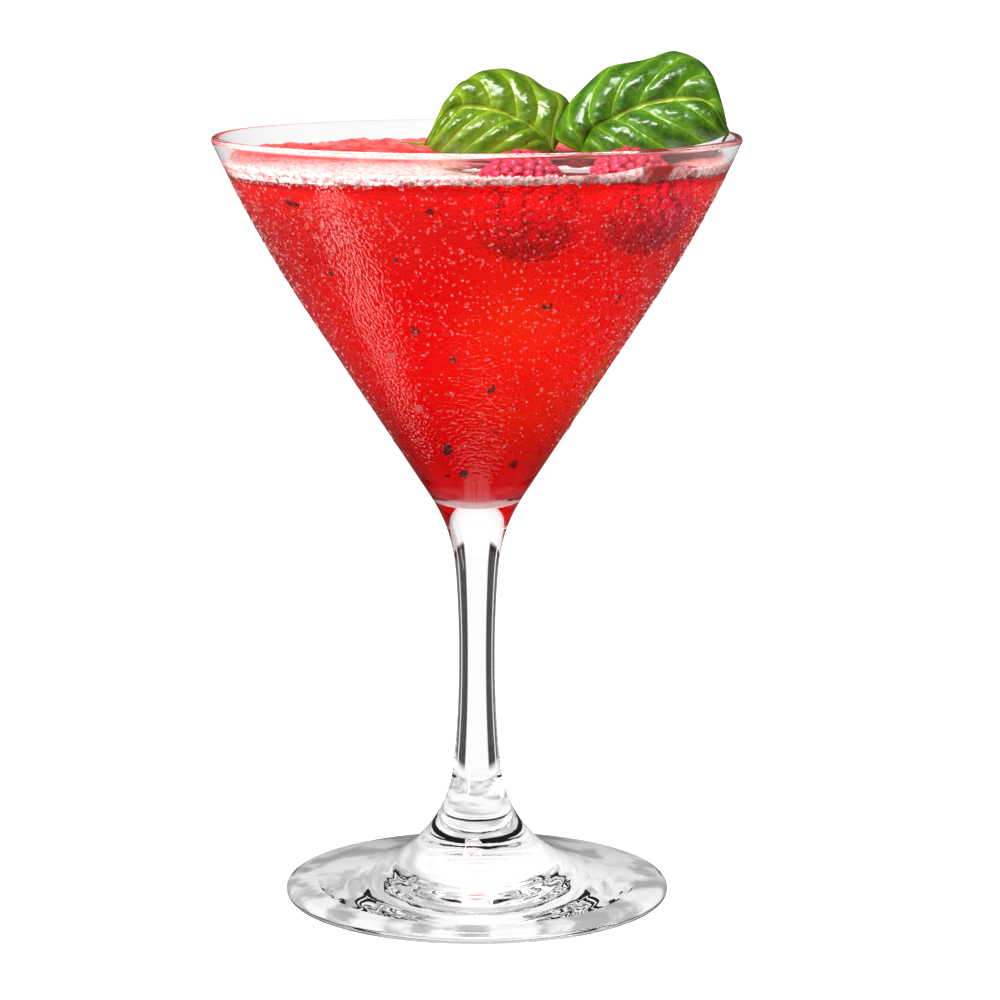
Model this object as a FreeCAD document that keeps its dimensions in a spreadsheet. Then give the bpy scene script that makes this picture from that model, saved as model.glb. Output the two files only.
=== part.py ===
"""Martini cocktail: a stemmed glass holding a red drink with a head of foam,
two floating raspberries and two basil leaves.

Frame: millimetres, +Z up, origin at the bottom centre of the glass foot, -Y is the side that the
berries and the faces of the leaves look to.  Every size that can be set by itself is a cell of the
sheet "Sizes"; everything that fits another piece is worked out from the same cells.
"""
import FreeCAD
import Part

import math
import os

import Sketcher

Vector = FreeCAD.Vector

SHEET = "Sizes"

# name, value (millimetres or degrees), meaning
SIZES = [
    ("glass_height", 171.0, "foot to the top of the rim"),
    ("rim_diameter", 116.0, "outside of the rim"),
    ("foot_diameter", 86.0, "outside of the foot"),
    ("wall_thickness", 1.8, "bowl wall, and the bead of the rim"),
    ("rim_angle", 24.3, "wall from the vertical at the rim, degrees"),
    ("bowl_angle", 33.2, "wall from the vertical along the cone, degrees"),
    ("bowl_curve_radius", 268.0, "middle of the wall, between those two angles"),
    ("floor_radius", 14.5, "inside rounding at the bottom of the bowl"),
    ("neck_radius", 34.5, "flare from the stem into the bowl"),
    ("waist_diameter", 8.1, "thinnest place of the stem"),
    ("waist_radius", 258.0, "long hollow curve of the stem"),
    ("waist_share", 0.674, "place of the waist, as a share of the height of the cone's point"),
    ("ankle_radius", 26.5, "flare from the stem into the foot"),
    ("foot_slope", 10.0, "top of the foot from the horizontal, degrees"),
    ("foot_edge", 3.4, "thickness of the rounded edge of the foot"),
    ("kick_height", 1.2, "hollow under the foot, at its middle"),
    ("ring_width", 6.0, "flat ring that the foot rests on"),
    ("fill_depth", 7.0, "top of the rim down to the liquid"),
    ("foam_thickness", 2.5, "head of foam on the liquid"),
    ("berry_width", 21.4, "across a raspberry"),
    ("berry_height", 19.8, "along a raspberry's core"),
    ("drupelet_size", 4.0, "one bead of a raspberry"),
    ("berry_sink", 4.6, "liquid level down to a berry's middle"),
    ("berry_tilt", 14.0, "lean of each berry's core, degrees"),
    ("berry_gap", 3.2, "between the two berries"),
    ("berry_wall_gap", 2.6, "between the outer berry and the glass"),
    ("pocket_gap", 0.3, "between a berry and the drink around it"),
    ("leaf_length", 39.0, "outer leaf, base to tip"),
    ("leaf_width", 27.0, "outer leaf"),
    ("small_leaf_length", 33.0, "inner leaf, base to tip"),
    ("small_leaf_width", 25.0, "inner leaf"),
    ("leaf_thickness", 0.8, "both leaves"),
    ("leaf_arch", 4.5, "rise of a leaf's midrib between base and tip"),
    ("leaf_cup", 3.0, "fall of a leaf's edges below its midrib"),
    ("leaf_lean", 38.0, "leaves from the vertical, leaning back, degrees"),
    ("leaf_rise", 9.0, "midribs from the horizontal, degrees"),
    ("leaf_stagger", 4.2, "inner leaf behind the outer one"),
    ("leaf_overlap", 5.0, "inner leaf's base tucked behind the outer one"),
    ("leaf_gap", 0.3, "between a leaf and what it leans on"),
    ("rest_gap", 0.05, "between the leaves and the foam they lie on"),
]

# Places that several pieces share, written once as sheet expressions.
WALL_HALF = f"{SHEET}.wall_thickness / 2"
BEAD_X = f"{SHEET}.rim_diameter / 2 - {WALL_HALF}"
BEAD_Z = f"{SHEET}.glass_height - {WALL_HALF}"
CURVE_X = f"{BEAD_X} - {SHEET}.bowl_curve_radius * cos({SHEET}.rim_angle * 1deg)"
CURVE_Z = f"{BEAD_Z} + {SHEET}.bowl_curve_radius * sin({SHEET}.rim_angle * 1deg)"
LIQUID_LEVEL = f"{SHEET}.glass_height - {SHEET}.fill_depth"
FOAM_LEVEL = f"{LIQUID_LEVEL} + {SHEET}.foam_thickness"


def make_sheet(doc):
    """Puts every driving size into the spreadsheet, one aliased cell each."""
    sheet = doc.addObject("Spreadsheet::Sheet", SHEET)
    for row, (name, value, meaning) in enumerate(SIZES, start=1):
        sheet.set(f"A{row}", name)
        sheet.set(f"B{row}", str(value))
        sheet.set(f"C{row}", meaning)
        sheet.setAlias(f"B{row}", name)
    doc.recompute()
    return sheet


class BowlProfile:
    """Where the arcs and lines of the glass's outline meet, worked out from the sheet.

    Points are (radius, height) from the axis.  The middle line of the upper wall is one arc from the
    rim angle to the bowl angle; below it the wall is a straight cone.
    """

    def __init__(self, sheet):
        self.sheet = sheet
        rim_angle = math.radians(sheet.rim_angle)
        self.cone = math.radians(sheet.bowl_angle)
        self.half = sheet.wall_thickness / 2
        self.bead = (sheet.rim_diameter / 2 - self.half, sheet.glass_height - self.half)
        self.curve_centre = (
            self.bead[0] - sheet.bowl_curve_radius * math.cos(rim_angle),
            self.bead[1] + sheet.bowl_curve_radius * math.sin(rim_angle),
        )
        self.inner_curve = sheet.bowl_curve_radius - self.half
        self.outer_curve = sheet.bowl_curve_radius + self.half
        self.cone_top_in = self.on_curve(self.inner_curve, self.cone)
        self.cone_top_out = self.on_curve(self.outer_curve, self.cone)
        self.rim_in = self.on_curve(self.inner_curve, rim_angle)
        self.rim_out = self.on_curve(self.outer_curve, rim_angle)
        self.floor_centre = (sheet.floor_radius - self.cone_offset(self.cone_top_in)) / math.sin(self.cone)
        self.floor_end = (
            sheet.floor_radius * math.cos(self.cone),
            self.floor_centre - sheet.floor_radius * math.sin(self.cone),
        )

    def on_curve(self, radius, angle):
        """The point of the upper wall's arc of this radius, this far below the horizontal."""
        return (
            self.curve_centre[0] + radius * math.cos(angle),
            self.curve_centre[1] - radius * math.sin(angle),
        )

    def cone_offset(self, point):
        """Signed distance of a point from the cone's direction through the origin."""
        return point[0] * math.cos(self.cone) - point[1] * math.sin(self.cone)

    def point_height(self):
        """Height at which the outside of the cone, drawn on, would be as thin as the waist."""
        offset = self.cone_offset(self.cone_top_out)
        thin = self.sheet.waist_diameter / 2
        return (thin * math.cos(self.cone) - offset) / math.sin(self.cone)

    def inner_radius(self, height):
        """Radius of the inside of the bowl at a height, above its rounded floor."""
        if height >= self.cone_top_in[1]:
            rise = self.curve_centre[1] - height
            return self.curve_centre[0] + math.sqrt(self.inner_curve**2 - rise**2)
        return self.cone_top_in[0] - (self.cone_top_in[1] - height) * math.tan(self.cone)


def line(start, end):
    """A sketch line between two (x, y) points."""
    return Part.LineSegment(Vector(*start, 0), Vector(*end, 0))


def arc(centre, radius, start, end):
    """A counterclockwise sketch arc between two points of its circle."""
    circle = Part.Circle(Vector(*centre, 0), Vector(0, 0, 1), radius)
    angles = [math.atan2(point[1] - centre[1], point[0] - centre[0]) for point in (start, end)]
    return Part.ArcOfCircle(circle, angles[0], angles[1])


class ProfileSketch:
    """A sketch on the XZ plane of its own body, half an outline that is spun about Z."""

    START, END, CENTRE = 1, 2, 3
    ACROSS, UPRIGHT = -1, -2

    def __init__(self, body, name):
        self.sketch = body.newObject("Sketcher::SketchObject", name)
        plane = next(item for item in body.Origin.OriginFeatures if item.Role == "XZ_Plane")
        self.sketch.AttachmentSupport = [(plane, "")]
        self.sketch.MapMode = "FlatFace"
        self.edges = {}

    def add(self, name, edge):
        """Adds one named edge of the outline."""
        self.edges[name] = self.sketch.addGeometry(edge, False)

    def join(self, first, first_end, second, second_end, smooth=True):
        """Joins two ends, tangent where the outline runs on smoothly."""
        kind = "Tangent" if smooth else "Coincident"
        self.sketch.addConstraint(
            Sketcher.Constraint(kind, self.edges[first], first_end, self.edges[second], second_end)
        )

    def on_axis(self, name, place, axis):
        """Keeps a point of an edge on one of the sketch's axes."""
        self.sketch.addConstraint(Sketcher.Constraint("PointOnObject", self.edges[name], place, axis))

    def parallel(self, first, second):
        """Keeps two lines parallel."""
        self.sketch.addConstraint(Sketcher.Constraint("Parallel", self.edges[first], self.edges[second]))

    def size(self, label, kind, formula, *geometry):
        """Adds a dimension and binds it to the sheet."""
        places = [self.edges.get(item, item) for item in geometry]
        value = self.measure(kind, places)
        index = self.sketch.addConstraint(Sketcher.Constraint(kind, *places, value))
        self.sketch.renameConstraint(index, label)
        self.sketch.setExpression(f"Constraints.{label}", formula)

    def measure(self, kind, places):
        """The dimension as drawn, which the sheet's value then replaces."""
        if kind == "Radius":
            return self.sketch.Geometry[places[0]].Radius
        if kind == "Angle":
            edge = self.sketch.Geometry[places[0]]
            run = edge.EndPoint - edge.StartPoint
            return math.atan2(run.y, run.x)
        point = self.sketch.getPoint(places[-2], places[-1])
        return point.x if kind == "DistanceX" else point.y

    def place(self, label, name, spot, across, up):
        """Dimensions a point's two distances from the origin."""
        for kind, formula in (("DistanceX", across), ("DistanceY", up)):
            if formula:
                self.size(f"{label}_{kind[-1].lower()}", kind, formula, -1, 1, name, spot)

    def finish(self, doc):
        """Solves the sketch and refuses one that isn't fully held."""
        doc.recompute()
        if self.sketch.solve() != 0 or not self.sketch.FullyConstrained:
            raise RuntimeError(f"{self.sketch.Name} isn't fully constrained")
        return self.sketch


def revolve(doc, body, sketch):
    """Spins a half outline a full turn about the Z axis."""
    turn = body.newObject("PartDesign::Revolution", f"{body.Name}_turn")
    turn.Profile = sketch
    axis = next(item for item in body.Origin.OriginFeatures if item.Role == "Z_Axis")
    turn.ReferenceAxis = (axis, [""])
    turn.Angle = 360
    sketch.Visibility = False
    doc.recompute()
    return turn


def draw_inner_wall(outline, profile, top):
    """Draws the inside of the bowl: floor arc, cone line and upper arc up to a point."""
    floor = (0, profile.floor_centre - profile.sheet.floor_radius)
    centre = (0, profile.floor_centre)
    outline.add("inner_curve", arc(profile.curve_centre, profile.inner_curve, profile.cone_top_in, top))
    outline.add("inner_cone", line(profile.cone_top_in, profile.floor_end))
    outline.add("floor", arc(centre, profile.sheet.floor_radius, floor, profile.floor_end))


def hold_inner_wall(outline):
    """Constrains the inside of the bowl to the sheet."""
    start, end, centre = outline.START, outline.END, outline.CENTRE
    outline.join("inner_curve", start, "inner_cone", start)
    outline.join("inner_cone", end, "floor", end)
    outline.on_axis("floor", start, outline.UPRIGHT)
    outline.on_axis("floor", centre, outline.UPRIGHT)
    outline.size("floor_radius", "Radius", f"{SHEET}.floor_radius", "floor")
    outline.place("curve", "inner_curve", centre, CURVE_X, CURVE_Z)


def make_glass(doc, sheet, profile):
    """The glass: foot, waisted stem and bowl, turned as one piece."""
    body = doc.addObject("PartDesign::Body", "glass")
    outline = ProfileSketch(body, "glass_outline")
    start, end, centre = outline.START, outline.END, outline.CENTRE

    edge_half = sheet.foot_edge / 2
    slope = math.radians(sheet.foot_slope)
    edge_centre = (sheet.foot_diameter / 2 - edge_half, edge_half)
    edge_low = (edge_centre[0], 0)
    edge_top = (edge_centre[0] + edge_half * math.sin(slope), edge_half + edge_half * math.cos(slope))
    ring_in = (edge_centre[0] - sheet.ring_width, 0)
    kick_radius = (ring_in[0] ** 2 + sheet.kick_height**2) / (2 * sheet.kick_height)
    kick = (0, sheet.kick_height)

    waist_x = sheet.waist_radius + sheet.waist_diameter / 2
    waist_z = sheet.waist_share * profile.point_height()
    waist = (waist_x, waist_z)

    neck_reach = sheet.waist_radius - sheet.neck_radius
    outside = profile.cone_offset(profile.cone_top_out)
    neck_turn = profile.cone - math.acos((profile.cone_offset(waist) - outside - sheet.neck_radius) / neck_reach)
    neck = (waist_x - neck_reach * math.cos(neck_turn), waist_z + neck_reach * math.sin(neck_turn))
    cone_low = (
        neck[0] - sheet.neck_radius * math.cos(profile.cone),
        neck[1] + sheet.neck_radius * math.sin(profile.cone),
    )
    waist_top = (
        waist_x - sheet.waist_radius * math.cos(neck_turn),
        waist_z + sheet.waist_radius * math.sin(neck_turn),
    )

    ankle_reach = sheet.waist_radius - sheet.ankle_radius
    foot_offset = edge_top[0] * math.sin(slope) + edge_top[1] * math.cos(slope)
    waist_offset = waist_x * math.sin(slope) + waist_z * math.cos(slope)
    ankle_turn = math.asin((waist_offset - foot_offset - sheet.ankle_radius) / ankle_reach) - slope
    ankle = (waist_x - ankle_reach * math.cos(ankle_turn), waist_z - ankle_reach * math.sin(ankle_turn))
    waist_low = (
        waist_x - sheet.waist_radius * math.cos(ankle_turn),
        waist_z - sheet.waist_radius * math.sin(ankle_turn),
    )
    foot_in = (
        ankle[0] - sheet.ankle_radius * math.sin(slope),
        ankle[1] - sheet.ankle_radius * math.cos(slope),
    )

    outline.add("ring", line(ring_in, edge_low))
    outline.add("edge", arc(edge_centre, edge_half, edge_low, edge_top))
    outline.add("foot_top", line(edge_top, foot_in))
    outline.add("ankle", arc(ankle, sheet.ankle_radius, waist_low, foot_in))
    outline.add("waist", arc(waist, sheet.waist_radius, waist_top, waist_low))
    outline.add("neck", arc(neck, sheet.neck_radius, cone_low, waist_top))
    outline.add("outer_cone", line(cone_low, profile.cone_top_out))
    outline.add(
        "outer_curve", arc(profile.curve_centre, profile.outer_curve, profile.cone_top_out, profile.rim_out)
    )
    outline.add("bead", arc(profile.bead, profile.half, profile.rim_out, profile.rim_in))
    draw_inner_wall(outline, profile, profile.rim_in)
    outline.add("core", line((0, profile.floor_centre - sheet.floor_radius), kick))
    outline.add("kick", arc((0, sheet.kick_height - kick_radius), kick_radius, ring_in, kick))

    outline.join("ring", end, "edge", start)
    outline.join("edge", end, "foot_top", start)
    outline.join("foot_top", end, "ankle", end)
    outline.join("ankle", start, "waist", end)
    outline.join("waist", start, "neck", end)
    outline.join("neck", start, "outer_cone", start)
    outline.join("outer_cone", end, "outer_curve", start)
    outline.join("outer_curve", end, "bead", start)
    outline.join("bead", end, "inner_curve", end)
    hold_inner_wall(outline)
    outline.join("outer_curve", centre, "inner_curve", centre, smooth=False)
    outline.parallel("outer_cone", "inner_cone")
    outline.join("floor", start, "core", start, smooth=False)
    outline.join("core", end, "kick", end, smooth=False)
    outline.join("kick", start, "ring", start, smooth=False)
    outline.on_axis("core", end, outline.UPRIGHT)
    outline.on_axis("kick", centre, outline.UPRIGHT)
    outline.on_axis("ring", start, outline.ACROSS)
    outline.on_axis("ring", end, outline.ACROSS)

    edge_x = f"({SHEET}.foot_diameter - {SHEET}.foot_edge) / 2"
    waist_height = waist_height_formula()
    outline.size("edge_radius", "Radius", f"{SHEET}.foot_edge / 2", "edge")
    outline.place("edge", "edge", centre, edge_x, "")
    outline.size("foot_slope", "Angle", f"180deg - {SHEET}.foot_slope * 1deg", "foot_top")
    outline.size("ankle_radius", "Radius", f"{SHEET}.ankle_radius", "ankle")
    outline.size("waist_radius", "Radius", f"{SHEET}.waist_radius", "waist")
    outline.place(
        "waist", "waist", centre, f"{SHEET}.waist_radius + {SHEET}.waist_diameter / 2", waist_height
    )
    outline.size("neck_radius", "Radius", f"{SHEET}.neck_radius", "neck")
    outline.size("bowl_angle", "Angle", f"90deg - {SHEET}.bowl_angle * 1deg", "outer_cone")
    outline.size("bead_radius", "Radius", WALL_HALF, "bead")
    outline.place("bead", "bead", centre, BEAD_X, BEAD_Z)
    outline.size("kick", "DistanceY", f"{SHEET}.kick_height", -1, 1, "kick", end)
    outline.size("ring", "DistanceX", f"{edge_x} - {SHEET}.ring_width", -1, 1, "ring", start)
    revolve(doc, body, outline.finish(doc))
    return body


def waist_height_formula():
    """Height of the waist: a share of where the outer cone would be as thin as the stem."""
    angle = f"({SHEET}.bowl_angle * 1deg)"
    outer = f"({SHEET}.bowl_curve_radius + {WALL_HALF})"
    top_x = f"({CURVE_X} + {outer} * cos{angle})"
    top_z = f"({CURVE_Z} - {outer} * sin{angle})"
    offset = f"({top_x} * cos{angle} - {top_z} * sin{angle})"
    return f"{SHEET}.waist_share * ({SHEET}.waist_diameter / 2 * cos{angle} - {offset}) / sin{angle}"


def make_fill(doc, sheet, profile):
    """Everything that fills the bowl, up to the top of the foam, turned as one body."""
    body = doc.addObject("PartDesign::Body", "fill")
    outline = ProfileSketch(body, "fill_outline")
    start, end = outline.START, outline.END
    level = sheet.glass_height - sheet.fill_depth + sheet.foam_thickness
    brim = (profile.inner_radius(level), level)
    floor = (0, profile.floor_centre - sheet.floor_radius)
    draw_inner_wall(outline, profile, brim)
    outline.add("surface", line(brim, (0, level)))
    outline.add("core", line((0, level), floor))
    hold_inner_wall(outline)
    outline.join("inner_curve", end, "surface", start, smooth=False)
    outline.join("surface", end, "core", start, smooth=False)
    outline.join("core", end, "floor", start, smooth=False)
    outline.on_axis("core", start, outline.UPRIGHT)
    outline.size("inner_radius", "Radius", f"{SHEET}.bowl_curve_radius - {WALL_HALF}", "inner_curve")
    outline.size("bowl_angle", "Angle", f"-90deg - {SHEET}.bowl_angle * 1deg", "inner_cone")
    outline.size("level", "DistanceY", FOAM_LEVEL, -1, 1, "surface", start)
    outline.size("level_in", "DistanceY", FOAM_LEVEL, -1, 1, "surface", end)
    revolve(doc, body, outline.finish(doc))
    return body


def berry_places(sheet, profile):
    """Middles of the two berries: the outer one stands off the glass, the inner one off the outer."""
    height = sheet.glass_height - sheet.fill_depth - sheet.berry_sink
    reach = profile.inner_radius(height) - sheet.berry_width / 2 - sheet.berry_wall_gap
    outer_bearing = math.radians(-29.4)
    inner_bearing = math.radians(196.5)
    outer = Vector(reach * math.cos(outer_bearing), reach * math.sin(outer_bearing), height)
    step = sheet.berry_width + sheet.berry_gap
    inner = outer + Vector(step * math.cos(inner_bearing), step * math.sin(inner_bearing), 0)
    return {"berry_left": inner, "berry_right": outer}


def raspberry(sheet):
    """A raspberry about its own middle: rows of round drupelets on a smooth core."""
    bead = sheet.drupelet_size
    wide = (sheet.berry_width - bead) / 2
    tall = (sheet.berry_height - bead) / 2
    rows = round(math.pi * (wide + tall) / 2 / (0.9 * bead))
    beads = []
    for row in range(rows):
        latitude = math.pi * ((row + 0.5) / rows - 0.5)
        count = max(1, round(2 * math.pi * wide * math.cos(latitude) / (0.95 * bead)))
        for step in range(count):
            turn = 2 * math.pi * (step + 0.5 * (row % 2)) / count
            beads.append(
                Part.makeSphere(
                    bead / 2,
                    Vector(
                        wide * math.cos(latitude) * math.cos(turn),
                        wide * math.cos(latitude) * math.sin(turn),
                        tall * math.sin(latitude),
                    ),
                )
            )
    stretch = FreeCAD.Matrix()
    stretch.scale(wide + 0.1 * bead, wide + 0.1 * bead, tall + 0.1 * bead)
    core = Part.makeSphere(1.0).transformGeometry(stretch)
    return core.multiFuse(beads).Solids[0]


def make_berry(doc, sheet, name, middle, bearing):
    """One raspberry, its core leaning towards a bearing, at its place in the drink."""
    berry = doc.addObject("Part::Feature", name)
    berry.Shape = raspberry(sheet)
    lean = FreeCAD.Rotation(Vector(math.cos(bearing), math.sin(bearing), 0), sheet.berry_tilt)
    berry.Placement = FreeCAD.Placement(middle, lean)
    return berry


def make_pocket(doc, name, berry):
    """The smooth hollow that a berry leaves in the drink and the foam."""
    pocket = doc.addObject("Part::Ellipsoid", name)
    half_height = f"{SHEET}.berry_height / 2 + {SHEET}.pocket_gap"
    half_width = f"{SHEET}.berry_width / 2 + {SHEET}.pocket_gap"
    pocket.setExpression("Radius1", half_height)
    pocket.setExpression("Radius2", half_width)
    pocket.setExpression("Radius3", half_width)
    pocket.Placement = berry.Placement
    return pocket


def make_contents(doc, fill, pockets):
    """Splits the fill at the liquid's level into drink and foam, both cut round the berries."""
    below = doc.addObject("Part::Cylinder", "below_level")
    below.setExpression("Radius", f"{SHEET}.rim_diameter / 2")
    below.setExpression("Height", LIQUID_LEVEL)
    hollows = doc.addObject("Part::MultiFuse", "berry_hollows")
    hollows.Shapes = pockets
    layers = []
    for name, kind in (("drink", "Part::Common"), ("foam", "Part::Cut")):
        layer = doc.addObject(kind, f"{name}_layer")
        layer.Base = fill
        layer.Tool = below
        piece = doc.addObject("Part::Cut", name)
        piece.Base = layer
        piece.Tool = hollows
        layers.append(piece)
    return layers


def leaf_shape(sheet, length, width, widest):
    """A thin arched leaf in its own frame: x along the midrib, y across, z out of its face.

    widest is the share of the length at which it is widest.  The base is round, the tip is drawn
    out, and the blade swells a little between its side veins.
    """
    steps_long, steps_across = 22, 10
    swell, pairs = 0.3, 3
    bend = math.log(0.5) / math.log(widest)
    thick = sheet.leaf_thickness / 2

    def half_width(share):
        return max(0.4, width / 2 * math.sin(math.pi * share**bend) ** 0.6)

    def face(side):
        rows = []
        for i in range(steps_long + 1):
            share = (1 - math.cos(math.pi * i / steps_long)) / 2
            half = half_width(share)
            row = []
            for j in range(steps_across + 1):
                across = 2 * j / steps_across - 1
                ripple = math.cos(2 * math.pi * (pairs * share - 1.2 * abs(across)))
                rise = sheet.leaf_arch * math.sin(math.pi * share)
                rise -= sheet.leaf_cup * (across * 2 * half / width) ** 2
                rise += swell * ripple * abs(math.sin(math.pi * across)) * math.sin(math.pi * share)
                row.append(Vector(share * length, across * half, rise + side * thick))
            rows.append(row)
        surface = Part.BSplineSurface()
        surface.interpolate(rows)
        return surface

    top, bottom = face(1), face(-1)
    faces = [top.toShape(), bottom.toShape()]
    borders = (("uIso", 0), ("uIso", 1), ("vIso", 0), ("vIso", 1))
    for kind, end in borders:
        edges = []
        for surface in (top, bottom):
            low_u, high_u, low_v, high_v = surface.bounds()
            limits = (low_u, high_u) if kind == "uIso" else (low_v, high_v)
            edges.append(getattr(surface, kind)(limits[end]).toShape())
        faces.append(Part.makeRuledSurface(edges[0], edges[1]))
    sewn = Part.makeShell(faces)
    sewn.sewShape()
    solid = Part.makeSolid(sewn)
    if solid.Volume < 0:
        solid.reverse()
    return solid


def leaf_rotation(sheet, outward):
    """Turns a leaf's frame so that it points outward (+1 or -1 along X), face to -Y, leaning back."""
    lean = math.radians(sheet.leaf_lean)
    along = Vector(outward, 0, 0)
    across = Vector(0, math.sin(lean), math.cos(lean)) * outward
    facing = Vector(0, -math.cos(lean), math.sin(lean))
    stand = FreeCAD.Rotation(along, across, facing, "XYZ")
    rise = FreeCAD.Rotation(facing, outward * sheet.leaf_rise)
    return rise.multiply(stand)


def tight_box(shape):
    """The exact box round a shape, which BoundBox is only near."""
    return shape.optimalBoundingBox(False)


def make_leaves(doc, sheet, profile, berries):
    """Two leaves that lie on the foam behind the berries, the outer one's tip just inside the rim."""
    foam_top = sheet.glass_height - sheet.fill_depth + sheet.foam_thickness
    front = max(tight_box(berry.Shape).YMax for berry in berries) + sheet.leaf_gap
    mouth = profile.inner_radius(profile.rim_in[1]) - sheet.leaf_gap - sheet.leaf_thickness

    def add_leaf(name, shape, outward):
        leaf = doc.addObject("Part::Feature", name)
        leaf.Shape = shape
        leaf.Placement = FreeCAD.Placement(Vector(0, 0, 0), leaf_rotation(sheet, outward))
        return leaf

    def move(leaf, shift_x, front_y):
        """Shifts a leaf along X, puts its front at front_y and lays it on the foam."""
        box = tight_box(leaf.Shape)
        shift = Vector(shift_x, front_y - box.YMin, foam_top + sheet.rest_gap - box.ZMin)
        leaf.Placement = FreeCAD.Placement(shift, leaf.Placement.Rotation)

    outer = add_leaf("leaf_right", leaf_shape(sheet, sheet.leaf_length, sheet.leaf_width, 0.58), 1)
    tip = outer.Placement.multVec(Vector(sheet.leaf_length, 0, 0))
    tip_y = tip.y + front - tight_box(outer.Shape).YMin
    move(outer, math.sqrt(mouth**2 - tip_y**2) - tip.x, front)

    inner = add_leaf(
        "leaf_left", leaf_shape(sheet, sheet.small_leaf_length, sheet.small_leaf_width, 0.48), -1
    )
    inner_end = tight_box(outer.Shape).XMin + sheet.leaf_overlap
    move(inner, inner_end - tight_box(inner.Shape).XMax, front + sheet.leaf_stagger)
    return [inner, outer]


def check(doc, pieces):
    """Stops on any failed object or broken shape."""
    for item in doc.Objects:
        if "Invalid" in item.State or "Error" in item.State:
            raise RuntimeError(f"{item.Name} failed to recompute: {item.State}")
    for piece in pieces:
        if piece.Shape.isNull() or not piece.Shape.isValid() or len(piece.Shape.Solids) != 1:
            raise RuntimeError(f"{piece.Label} isn't one valid solid")


def main():
    """Builds every piece and writes one STEP file for each."""
    doc = FreeCAD.newDocument("martini_cocktail")
    sheet = make_sheet(doc)
    profile = BowlProfile(sheet)
    glass = make_glass(doc, sheet, profile)
    fill = make_fill(doc, sheet, profile)

    berries = []
    pockets = []
    bearings = {"berry_left": math.radians(100), "berry_right": math.radians(20)}
    for name, middle in berry_places(sheet, profile).items():
        berry = make_berry(doc, sheet, name, middle, bearings[name])
        berries.append(berry)
        pockets.append(make_pocket(doc, name.replace("berry", "pocket"), berry))
    contents = make_contents(doc, fill, pockets)
    leaves = make_leaves(doc, sheet, profile, berries)
    doc.recompute()

    pieces = [glass, *contents, *berries, *leaves]
    check(doc, pieces)
    os.makedirs("parts", exist_ok=True)
    for piece in pieces:
        piece.Shape.exportStep(f"parts/{piece.Label}.step")
        box = tight_box(piece.Shape)
        print(
            f"{piece.Label}: volume {piece.Shape.Volume:.1f} mm3,"
            f" x {box.XMin:.2f}..{box.XMax:.2f}, y {box.YMin:.2f}..{box.YMax:.2f},"
            f" z {box.ZMin:.2f}..{box.ZMax:.2f}"
        )


main()
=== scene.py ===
"""A fruit cocktail in its stemmed glass: glass, drink, froth, berries, leaves and the small things in them."""

from __future__ import annotations

import logging
import math
import random
from dataclasses import dataclass, field
from enum import Enum

import bmesh
import bpy
from bmesh.types import BMesh, BMVert
from bpy.types import Material, NodeSocket, NodeTree, Object, bpy_prop_collection
from mathutils import Matrix, Vector, noise

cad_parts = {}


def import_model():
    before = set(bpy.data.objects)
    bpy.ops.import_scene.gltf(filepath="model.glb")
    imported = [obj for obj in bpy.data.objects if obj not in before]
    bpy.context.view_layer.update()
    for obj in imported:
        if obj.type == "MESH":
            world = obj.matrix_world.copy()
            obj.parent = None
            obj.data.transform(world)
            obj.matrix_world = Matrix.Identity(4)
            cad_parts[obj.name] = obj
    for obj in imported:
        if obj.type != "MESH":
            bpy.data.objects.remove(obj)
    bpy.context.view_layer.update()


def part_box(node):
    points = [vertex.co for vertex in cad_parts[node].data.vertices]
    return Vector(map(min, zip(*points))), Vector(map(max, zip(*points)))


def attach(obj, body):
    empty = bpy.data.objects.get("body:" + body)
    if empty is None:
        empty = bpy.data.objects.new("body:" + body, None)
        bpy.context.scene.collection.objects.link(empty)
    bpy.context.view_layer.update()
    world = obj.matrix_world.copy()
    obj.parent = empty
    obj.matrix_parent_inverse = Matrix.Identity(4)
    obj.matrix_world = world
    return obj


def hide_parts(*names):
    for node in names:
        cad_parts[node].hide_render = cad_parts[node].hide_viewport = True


log = logging.getLogger("cocktail")

MM = 0.001
BODY = "root"
WHITE = (1.0, 1.0, 1.0, 1.0)
BLACK = (0.0, 0.0, 0.0, 1.0)
LATERALS = 6.0  # side veins on each half of a leaf
SWEEP = 0.30  # how far a side vein runs on towards the tip, as a share of the leaf
BARE_SPOT = (21.0, -22.0)  # where the froth is parted round the berries, in millimetres
BARE_SCALE = 0.036  # one over the size of that place, per millimetre

Line = list[tuple[float, float, float]]
Spots = list[tuple[Vector, Vector, float, float]]


class Slot(Enum):
    """The finishes, each with its name."""

    GLASS = "clear_glass"
    DRINK = "red_drink"
    FOAM = "pink_foam"
    BERRY = "raspberry"
    LEAF = "basil"


def millimetres(*values: float) -> Vector:
    """A vector in metres from its parts in millimetres."""
    return Vector(values) * MM


def wander(point: Vector, step: float, seed: float = 0.0) -> float:
    """Smooth noise from -1 to 1 that changes over about one step."""
    return noise.noise(point / step + Vector((seed, seed * 1.7, -seed)))


def publish(
    name: str,
    shape: BMesh,
    finish: Material,
    slot: Slot,
    *nodes: str,
    extras: tuple[Material, ...] = (),
) -> Object:
    """Makes a finished piece of a shape and puts it on the object's one body.

    Args:
        name: the piece's name.
        shape: its faces, in metres; it is freed.
        finish: its material.
        slot: the finish it belongs to; not used.
        nodes: the frame's nodes that it stands for.
        extras: more materials, for faces with a material number over 0.

    Returns:
        The new object.
    """
    mesh = bpy.data.meshes.new(name)
    shape.to_mesh(mesh)
    shape.free()
    mesh.materials.append(finish)
    for extra in extras:
        mesh.materials.append(extra)
    mesh.shade_smooth()
    piece = bpy.data.objects.new(name, mesh)
    bpy.context.scene.collection.objects.link(piece)
    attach(piece, BODY)
    if nodes:
        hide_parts(*nodes)
    log.info("%s: %d faces", name, len(mesh.polygons))
    return piece


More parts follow.
